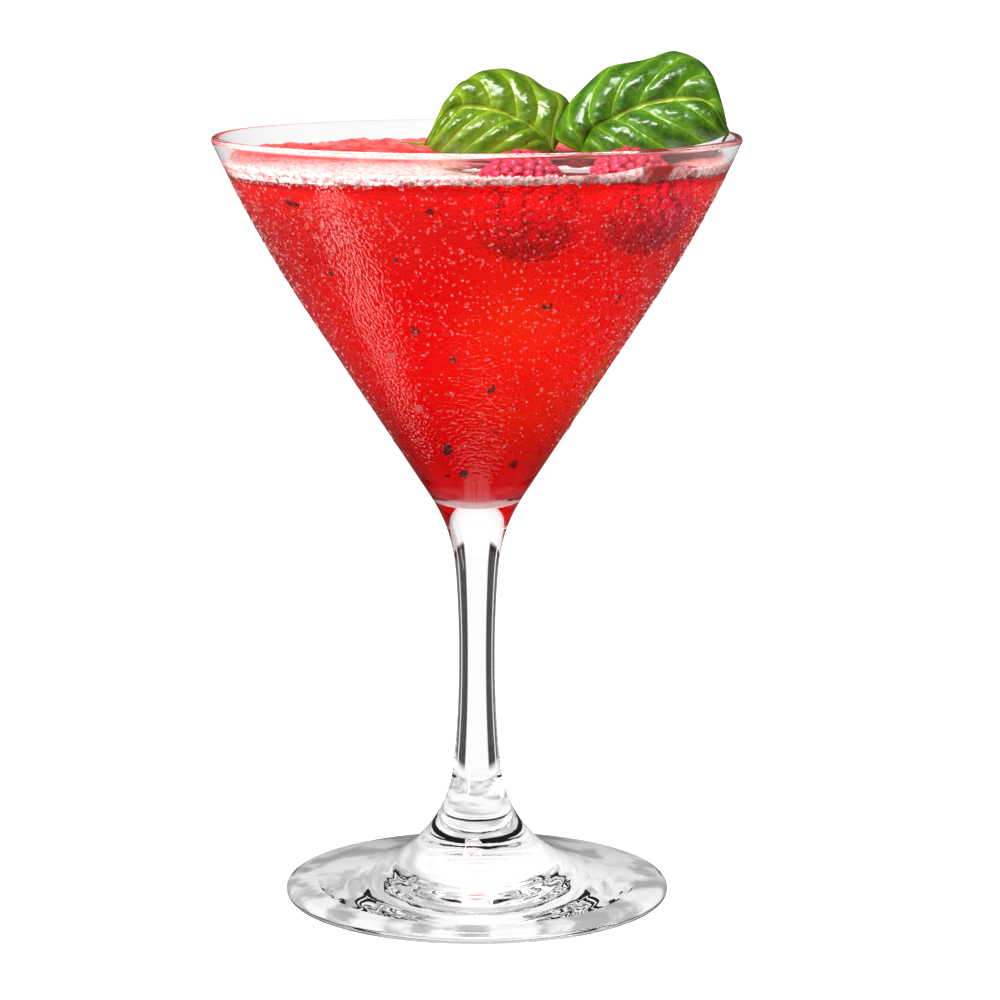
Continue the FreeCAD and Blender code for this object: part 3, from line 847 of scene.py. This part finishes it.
@dataclass
class Raspberry:
    """A raspberry: small beads set close in a spiral round an egg-shaped core."""

    node: str
    seed: int
    bead: float = 1.36
    count: int = 250
    lean: float = 14.0

    def build(self, finish: Material) -> Object:
        """Makes the berry in its node's place."""
        rng = random.Random(self.seed)
        low, high = (Vector(corner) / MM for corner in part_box(self.node))
        centre, half = (low + high) / 2.0, (high - low) / 2.0
        half -= Vector((self.bead, self.bead, self.bead)) * 0.8
        heap = Heap()
        core = heap.next()
        core.loops.layers.uv.verify()
        verts = bmesh.ops.create_icosphere(core, subdivisions=3, radius=1.0)["verts"]
        bmesh.ops.scale(core, verts=verts, vec=half * 0.985 * MM)
        golden = math.pi * (3.0 - math.sqrt(5.0))
        for index in range(self.count):
            rise = 1.0 - 2.0 * (index + 0.5) / self.count
            ring = math.sqrt(1.0 - rise * rise)
            turned = index * golden + rng.uniform(-0.06, 0.06)
            out = Vector((ring * math.cos(turned), ring * math.sin(turned), rise))
            spot = Vector((out.x * half.x, out.y * half.y, out.z * half.z))
            size = self.bead * rng.uniform(0.86, 1.14)
            shape = heap.next()
            shape.loops.layers.uv.verify()
            bead = bmesh.ops.create_icosphere(shape, subdivisions=2, radius=size * MM)["verts"]
            self._mark(shape, bead, size)
            turned = out.to_track_quat("Z", "Y").to_matrix()
            set_down(shape, bead, (1.0, 1.0, rng.uniform(0.95, 1.2)), turned, spot * MM)
        shape = heap.done()
        bmesh.ops.rotate(shape, verts=shape.verts, matrix=Matrix.Rotation(math.radians(self.lean), 3, "X"))
        bmesh.ops.translate(shape, verts=shape.verts, vec=centre * MM)
        return publish(self.node + "_piece", shape, finish, Slot.BERRY, self.node)

    @staticmethod
    def _mark(shape: BMesh, bead: list[BMVert], size: float) -> None:
        """Writes on a new bead's map how far out each of its corners lies, from 0 to 1."""
        layer = shape.loops.layers.uv.verify()
        for vert in bead:
            for loop in vert.link_loops:
                loop[layer].uv = (0.5 + 0.5 * vert.co.z / (size * MM), 0.0)


@dataclass
class Leaf:
    """A basil leaf between its base and tip on three lines, its midrib and two edges; in millimetres."""

    node: str
    base: tuple[float, float, float]
    tip: tuple[float, float, float]
    rib: Line
    upper: Line
    lower: Line
    bulge: float = 1.6
    pucker: float = 0.75
    thick: float = 0.35
    along: int = 110
    across: int = 80
    seed: float = 0.0

    def _follow(self, middle: Line, share: float) -> Vector:
        """The point a share of the way along a smooth line from the base through some points to the tip."""
        line = (self.base, *middle, self.tip)
        last = len(line) - 1
        place = min(max(share, 0.0), 1.0) * last
        index = min(int(place), last - 1)
        part = place - index
        before, start, end, after = (Vector(line[min(max(index + k, 0), last)]) for k in (-1, 0, 1, 2))
        return 0.5 * (
            2.0 * start
            + (end - before) * part
            + (2.0 * before - 5.0 * start + 4.0 * end - after) * part**2
            + (3.0 * start - before - 3.0 * end + after) * part**3
        )

    def _spot(self, share: float, side: float) -> Vector:
        """The leaf's smooth face at a share along it and a side from -1, its lower edge, to 1."""
        rib = self._follow(self.rib, share)
        edge = self._follow(self.upper if side > 0 else self.lower, share)
        out = abs(side)
        wide = (edge - rib).length
        lift = self.bulge * 4.0 * out * (1.0 - out) * min(1.0, wide / 8.0)
        away = Vector((0.0, -0.75, 0.66))
        return rib.lerp(edge, out) + away * lift

    def build(self, finish: Material) -> Object:
        """Makes the leaf."""
        shape = bmesh.new()
        shape.loops.layers.uv.verify()
        bmesh.ops.create_grid(shape, x_segments=self.along, y_segments=self.across, size=1.0, calc_uvs=True)
        places = {vert: ((vert.co.x + 1.0) / 2.0, vert.co.y) for vert in shape.verts}
        for vert, (share, side) in places.items():
            vert.co = self._spot(share, side) * MM
        shape.normal_update()
        normals = {vert: vert.normal.copy() for vert in shape.verts}
        flip = -1.0 if sum(normal.y for normal in normals.values()) > 0.0 else 1.0
        for vert, (share, side) in places.items():
            out = abs(side)
            step = (share - SWEEP * out**1.25) * LATERALS
            gap = abs(step - round(step))
            calm = min(1.0, 6.0 * share) * min(1.0, 5.0 * (1.0 - share)) * (1.0 - out**6)
            cell = math.sin(math.pi * gap) ** 0.7 * math.sin(math.pi * min(1.0, out * 1.05)) ** 0.5
            rough = 0.35 * wander(vert.co / MM, 3.2, self.seed) + 0.16 * wander(vert.co / MM, 1.2, self.seed + 5.0)
            furrow = 0.5 * math.exp(-((out / 0.05) ** 2))
            wave = 0.5 * out**4 * wander(Vector((share * 9.0, side * 2.0, 0.0)), 1.0, self.seed + 2.0)
            height = (self.pucker * cell + rough - furrow) * calm + wave
            vert.co += normals[vert] * (flip * height * MM)
        bmesh.ops.remove_doubles(shape, verts=shape.verts, dist=2e-5)
        bmesh.ops.recalc_face_normals(shape, faces=shape.faces)
        if sum(face.normal.y for face in shape.faces) > 0.0:
            bmesh.ops.reverse_faces(shape, faces=shape.faces)
        bmesh.ops.solidify(shape, geom=shape.faces[:], thickness=self.thick * MM)
        return publish(self.node + "_piece", shape, finish, Slot.LEAF, self.node)


@dataclass
class LeafPair:
    """The two leaves laid base to base on the froth."""

    left: Leaf = field(
        default_factory=lambda: Leaf(
            node="leaf_left",
            base=(16.8, 1.5, 167.2),
            tip=(-11.2, 0.0, 168.8),
            rib=[(12.3, 2.0, 172.1), (8.5, 2.2, 174.3), (3.1, 2.5, 176.3), (-3.1, 2.5, 176.9),
                 (-7.4, 1.5, 175.0)],
            upper=[(20.8, 8.0, 176.8), (15.4, 10.2, 180.6), (9.2, 11.0, 184.2), (1.8, 10.2, 184.6),
                   (-5.0, 7.8, 179.9)],
            lower=[(13.0, -1.5, 167.4), (7.0, -3.0, 167.0), (1.0, -3.5, 166.9), (-4.5, -3.0, 167.0),
                   (-8.8, -1.5, 167.3)],
            seed=1.0,
        )
    )
    right: Leaf = field(
        default_factory=lambda: Leaf(
            node="leaf_right",
            base=(22.5, -1.5, 167.2),
            tip=(55.0, -1.5, 171.4),
            rib=[(25.4, -1.0, 172.2), (28.4, -0.8, 173.8), (32.8, -0.5, 175.9),
                 (38.2, 0.0, 177.9), (45.5, 0.3, 178.8), (51.4, 0.0, 177.4)],
            upper=[(17.2, 1.0, 170.6), (20.2, 4.0, 177.4), (28.0, 7.0, 184.9), (36.0, 8.5, 186.7),
                   (44.2, 9.0, 188.8), (51.6, 5.6, 183.8)],
            lower=[(24.5, -4.0, 167.0), (28.0, -6.0, 166.9), (33.0, -7.0, 166.9),
                   (39.0, -7.2, 167.2), (46.0, -6.0, 168.8), (51.5, -4.0, 170.0)],
            seed=4.0,
        )
    )

    def build(self, effects: SharedEffects) -> None:
        """Makes both leaves, the left one lighter."""
        pale = LeafSkin("leaf_skin_light", light=(0.155, 0.28, 0.001, 1.0), deep=(0.022, 0.085, 0.0005, 1.0))
        self.left.build(pale.make(effects))
        self.right.build(LeafSkin("leaf_skin_deep").make(effects))


@dataclass
class Seeds:
    """Dark seeds and shreds of fruit that hang in the drink close behind the glass."""

    glass: StemGlass
    spots: tuple = (
        (-51.0, 160.0, 1.3), (-47.0, 144.5, 1.0), (-11.5, 159.5, 1.1), (-22.5, 148.5, 1.0), (-22.0, 132.5, 1.9),
        (-10.5, 126.4, 1.2), (23.0, 137.5, 1.2), (52.0, 138.6, 1.1), (8.5, 119.2, 1.5), (14.5, 121.2, 0.8),
        (22.0, 114.5, 0.8), (-24.0, 104.6, 1.9), (-14.0, 98.6, 1.6), (-34.0, 98.0, 1.0), (38.0, 101.0, 1.3),
        (12.0, 109.0, 1.0),
    )

    def build(self, finish: Material) -> Object:
        """Makes all seeds as one piece; each spot is a bearing from the front, a height and a size."""
        rng = random.Random(21)
        shape = bmesh.new()
        for bearing, height, size in self.spots:
            crumbs = 1 if size < 1.05 else rng.randint(2, 3)
            for _ in range(crumbs):
                turned = math.radians(bearing + rng.uniform(-2.2, 2.2) * (crumbs > 1))
                level = height + rng.uniform(-0.7, 0.7) * (crumbs > 1)
                out = self.glass.radius_at(level, self.glass.wall) - size - rng.uniform(0.6, 1.6)
                radius = size * 0.5 * rng.uniform(0.75, 1.0) * MM
                seed = bmesh.ops.create_icosphere(shape, subdivisions=2, radius=radius)["verts"]
                bmesh.ops.scale(shape, verts=seed, vec=(1.0, 0.62, rng.uniform(1.15, 1.5)))
                bmesh.ops.rotate(shape, verts=seed, matrix=Matrix.Rotation(rng.uniform(0.0, math.pi), 3, "Y"))
                spot = millimetres(out * math.sin(turned), -out * math.cos(turned), level)
                for vert in seed:
                    vert.co *= 1.0 + 0.18 * wander(vert.co / MM, 0.5, bearing)
                bmesh.ops.translate(shape, verts=seed, vec=spot)
        return publish("seeds", shape, finish, Slot.BERRY)


@dataclass
class Scatter:
    """Many small round things of one kind, joined as one piece."""

    name: str
    slot: Slot
    rounds: int = 1

    def build(self, spots: Spots, finish: Material) -> Object:
        """Makes them.

        Args:
            spots: for each its place, which way it faces, its radius and its height over its radius; in millimetres.
            finish: their material.

        Returns:
            The joined piece.
        """
        heap = Heap()
        for place, out, radius, flat in spots:
            shape = heap.next()
            drop = bmesh.ops.create_icosphere(shape, subdivisions=self.rounds, radius=radius * MM)["verts"]
            set_down(shape, drop, (1.0, 1.0, flat), out.to_track_quat("Z", "Y").to_matrix(), place * MM)
        return publish(self.name, heap.done(), finish, self.slot)


@dataclass
class Sprinkle:
    """Where dew, bubbles and froth beads lie on and in the bowl."""

    glass: StemGlass
    steep_above: float = 133.0
    steeper: float = 6.0
    froth_top: float = 166.5
    bubble_top: float = 164.0
    grown: tuple = (
        (-43.0, 157.0, 1.1), (-34.0, 126.0, 1.0), (-30.5, 113.5, 1.1), (-44.0, 152.0, 0.6), (-38.0, 131.0, 0.6),
        (-27.0, 112.0, 0.7), (-41.0, 148.0, 0.5), (-15.0, 150.0, 0.6), (30.0, 118.0, 0.6), (46.0, 128.0, 0.6),
    )

    def on_wall(self, bearing: float, height: float, depth: float) -> tuple[Vector, Vector]:
        """A point at a depth in from the bowl's outer face, and the way out there."""
        turned = math.radians(bearing)
        radius = self.glass.radius_at(height, depth)
        tilt = math.radians(self.glass.bowl_angle - (self.steeper if height > self.steep_above else 0.0))
        out = Vector((math.sin(turned) * math.cos(tilt), -math.cos(turned) * math.cos(tilt), -math.sin(tilt)))
        return Vector((radius * math.sin(turned), -radius * math.cos(turned), height)), out

    def dew(self, count: int, low: float, high: float, seed: int) -> Spots:
        """Fine drops over the cold outside of the bowl."""
        rng = random.Random(seed)
        spots = []
        for _ in range(count):
            height = 100.0 + 62.0 * math.sqrt(rng.random())
            spots.append((*self.on_wall(rng.uniform(-180.0, 180.0), height, 0.0), rng.uniform(low, high), 0.5))
        return spots

    def large_drops(self) -> Spots:
        """The few drops that have grown, each from its bearing, height and radius."""
        return [(*self.on_wall(bearing, height, 0.0), radius, 0.6) for bearing, height, radius in self.grown]

    def rising(self, count: int, seed: int) -> Spots:
        """Bubbles just under the froth at the glass, and a few lower down."""
        rng = random.Random(seed)
        spots = []
        for index in range(count):
            radius = rng.uniform(0.12, 0.32)
            height = self.bubble_top - rng.expovariate(0.75) if index % 12 else rng.uniform(104.0, 160.0)
            depth = self.glass.wall + radius + 0.1
            spots.append((*self.on_wall(rng.uniform(-180.0, 180.0), height, depth), radius, 1.0))
        return spots

    def froth(self, foam: Foam, count: int, seed: int) -> Spots:
        """Froth beads at the glass, more of them along the ragged lower edge."""
        rng = random.Random(seed)
        top = self.froth_top
        spots = []
        for index in range(count):
            bearing = rng.uniform(-180.0, 180.0)
            drop = foam.thickness(bearing)
            height = top - drop * rng.uniform(0.0, 1.1) if index % 3 else top - drop + rng.gauss(0.0, 0.35)
            radius = rng.uniform(0.16, 0.42)
            spots.append((*self.on_wall(bearing, height, self.glass.wall + radius * 0.6), radius, 0.9))
        for _ in range(count // 3):
            bearing = rng.uniform(-180.0, 180.0)
            turned, away = math.radians(bearing), 54.0 * math.sqrt(rng.uniform(0.8, 1.0))
            place = Vector((away * math.sin(turned), -away * math.cos(turned), top - 0.9 + rng.uniform(-0.1, 0.2)))
            spots.append((place, Vector((0.0, 0.0, 1.0)), rng.uniform(0.2, 0.55), 0.8))
        return spots


# ---------------------------------------------------------------- studio


@dataclass
class Studio:
    """A white room with a pale floor and soft lights."""

    seen: float = 1.1
    through: float = 1.10
    mirrored: float = 0.08
    around: float = 0.66
    floor_share: float = 0.92
    darkest: float = 0.97
    near_shade: float = 0.5
    lens: float = 132.04
    shift: float = 0.0231
    camera_place: tuple = (0.0, -0.804, 0.22457)
    camera_tilt: float = 0.1658

    def _levels(self, sheet: NodeSheet, past_glass, mirrored) -> NodeSocket:
        """How bright the room is: full to the eye, its own level through glass, dim in mirrors, softer as a light."""
        path = sheet.add("LightPath").outputs
        level = sheet.scaled(path["Is Camera Ray"], self.seen - self.around, self.around)
        seen_past = sheet.math("SUBTRACT", past_glass, self.around)
        level = sheet.scaled(path["Is Transmission Ray"], seen_past, level)
        glossy = sheet.times(path["Is Reflection Ray"], path["Is Glossy Ray"])
        return sheet.scaled(glossy, sheet.math("SUBTRACT", mirrored, self.around), level)

    def world(self) -> None:
        """White all round, dimmer on the right; through clear glass it is dark between the light lanes."""
        world = bpy.data.worlds.new("studio_world")
        bpy.context.scene.world = world
        world.use_nodes = True
        sheet = NodeSheet(world.node_tree)
        way = sheet.split(sheet.add("TexCoord").outputs["Generated"])
        right = sheet.spread(way["X"], 0.28, 0.72)
        past = sheet.scaled(right, -0.4 * self.through, self.through)
        dark = sheet.times(self._lanes(sheet, way), sheet.spread(way["Z"], 0.16, 0.10))
        dark = sheet.times(dark, self._straight(sheet))
        past = sheet.times(past, sheet.scaled(dark, -self.darkest, 1.0))
        ground = world.node_tree.nodes["Background"]
        ground.inputs["Color"].default_value = WHITE
        world.node_tree.links.new(self._levels(sheet, past, self.mirrored), ground.inputs["Strength"])

    @staticmethod
    def _straight(sheet: NodeSheet) -> NodeSocket:
        """A mask of the rays that passed few clear faces and met no mirror."""
        path = sheet.add("LightPath").outputs
        few = sheet.math("LESS_THAN", path["Transmission Depth"], 3.5)
        return sheet.times(few, sheet.math("LESS_THAN", path["Glossy Depth"], 0.5))

    @staticmethod
    def _lanes(sheet: NodeSheet, way: bpy_prop_collection) -> NodeSocket:
        """A mask of the dark sectors between the room's light lanes: four straight ones and four thin diagonals."""
        along, across = (sheet.math("ABSOLUTE", way[axis]) for axis in "XY")
        lane = sheet.math("DIVIDE", sheet.math("MINIMUM", along, across), sheet.flat_radius(way))
        return sheet.times(sheet.spread(lane, 0.33, 0.38), sheet.spread(lane, 0.69, 0.66))

    def floor(self) -> None:
        """A wide pale floor; seen through clear glass it is dark between the light lanes."""
        finish = Finish("floor_paint")
        path = finish.add("LightPath").outputs
        parts = finish.split(finish.place())
        radius = finish.flat_radius(parts)
        dark = finish.times(self._lanes(finish, parts), finish.spread(radius, 0.060, 0.080))
        dark = finish.times(dark, finish.times(self._straight(finish), self.darkest))
        spots = finish.add("TexNoise", {"Vector": finish.place(), "Scale": 90.0, "Detail": 5.0})
        near = finish.times(finish.spread(radius, 0.052, 0.040), finish.spread(spots.outputs[0], 0.45, 0.62))
        shade = finish.math("MAXIMUM", dark, finish.times(near, self.near_shade))
        past = finish.times(finish.math("SUBTRACT", 1.0, shade), self.floor_share * self.through)
        clear = finish.math("MAXIMUM", path["Is Reflection Ray"], path["Is Transmission Ray"])
        dull = finish.math("SUBTRACT", 1.0, clear)
        colour = finish.blend(dull, BLACK, (0.35, 0.35, 0.35, 1.0))
        finish.set(Base_Color=colour, Roughness=0.9, Specular_IOR_Level=0.0)
        mirrored = finish.spread(radius, 0.10, 0.30, 0.01, 0.08)
        finish.set(Emission_Color=WHITE, Emission_Strength=self._levels(finish, past, mirrored))
        shape = bmesh.new()
        bmesh.ops.create_circle(shape, cap_ends=True, segments=96, radius=6.0)
        self._stand("floor", shape, finish.material)

    @staticmethod
    def _stand(name: str, shape: BMesh, finish: Material) -> None:
        """Puts one part of the studio in place."""
        mesh = bpy.data.meshes.new(name)
        shape.to_mesh(mesh)
        shape.free()
        mesh.materials.append(finish)
        item = bpy.data.objects.new(name, mesh)
        bpy.context.scene.collection.objects.link(item)

    @staticmethod
    def lamp(name: str, place: tuple, aim: tuple, size: tuple, power: float) -> Object:
        """A soft rectangular lamp aimed at a point."""
        data = bpy.data.lights.new(name, "AREA")
        data.shape = "RECTANGLE"
        data.size, data.size_y = size
        data.energy = power
        lamp = bpy.data.objects.new(name, data)
        lamp.location = place
        lamp.rotation_euler = (Vector(place) - Vector(aim)).to_track_quat("Z", "Y").to_euler()
        lamp.visible_camera = False
        bpy.context.scene.collection.objects.link(lamp)
        return lamp

    def lamps(self) -> None:
        """A key light high on the left, and four lamps that show only as highlights."""
        self.lamp("key", (-0.7, -0.5, 0.95), (0.0, 0.0, 0.16), (0.7, 0.7), 26.0).visible_glossy = False
        strips = [
            self.lamp("band_far", (-0.180, -0.033, 0.002), (-0.180, -0.033, 0.1), (0.080, 0.036), 0.042),
            self.lamp("band_near", (-0.124, 0.004, 0.002), (-0.124, 0.004, 0.1), (0.056, 0.036), 0.014),
        ]
        for strip in strips:
            strip.rotation_euler = (math.pi, 0.0, math.radians(33.0))
        glints = self.lamp("glints", (-0.50, -0.72, 0.10), (0.0, 0.0, 0.14), (0.09, 0.45), 1.3)
        sheen = self.lamp("sheen", (-0.10, -0.32, 0.90), (0.02, 0.0, 0.17), (0.38, 0.28), 6.0)
        for lamp in (*strips, glints, sheen):
            lamp.visible_diffuse = lamp.visible_transmission = False

    def camera(self) -> None:
        """The camera, a little above the rim."""
        data = bpy.data.cameras.new("camera")
        data.lens = self.lens
        data.sensor_width = 36.0
        data.shift_x = self.shift
        camera = bpy.data.objects.new("camera", data)
        camera.location = self.camera_place
        camera.rotation_euler = (math.pi / 2.0 - self.camera_tilt, 0.0, 0.0)
        bpy.context.scene.collection.objects.link(camera)
        bpy.context.scene.camera = camera

    def build(self) -> None:
        """Sets up the whole studio."""
        scene = bpy.context.scene
        scene.view_settings.view_transform = "Standard"
        scene.cycles.max_bounces = scene.cycles.transmission_bounces = 24
        scene.cycles.glossy_bounces = 16
        self.world()
        self.floor()
        self.lamps()
        self.camera()


def main() -> None:
    """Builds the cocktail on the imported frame."""
    logging.basicConfig(level=logging.INFO, format="%(name)s %(message)s")
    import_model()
    Studio().build()
    effects = SharedEffects()

    glass = StemGlass()
    wetted = ChilledGlass("wetted_glass", wetted=True).make(effects)
    clear = glass.build(ChilledGlass().make(effects), wetted)
    drink = Drink(glass).build(RedDrink().make(effects))
    foam = Foam(glass)
    foam_finish = PinkFoam().make(effects)
    foam.build(foam_finish, PinkFoam("steeped_glowing_foam", steeped_glowing=True).make(effects))
    berry_finish = BerrySkin().make(effects)
    Raspberry("berry_left", seed=3).build(berry_finish)
    Raspberry("berry_right", seed=8).build(berry_finish)
    LeafPair().build(effects)
    Seeds(glass).build(DarkSeed().make(effects))

    sprinkle = Sprinkle(glass)
    water = ClearWater().make(effects)
    drops = [
        Scatter("fine_dew", Slot.GLASS, 1).build(sprinkle.dew(5200, 0.14, 0.36, 5), water),
        Scatter("large_dew", Slot.GLASS, 3).build(sprinkle.large_drops(), water),
        Scatter("bubbles", Slot.DRINK, 2).build(sprinkle.rising(420, 6), ClearWater("bubble_skin", 0.75).make(effects)),
    ]
    Scatter("froth_beads", Slot.FOAM, 1).build(sprinkle.froth(foam, 2400, 7), foam_finish)
    for clear_piece in (clear, drink, *drops):
        clear_piece.visible_shadow = False


if __name__ == "__main__":
    main()
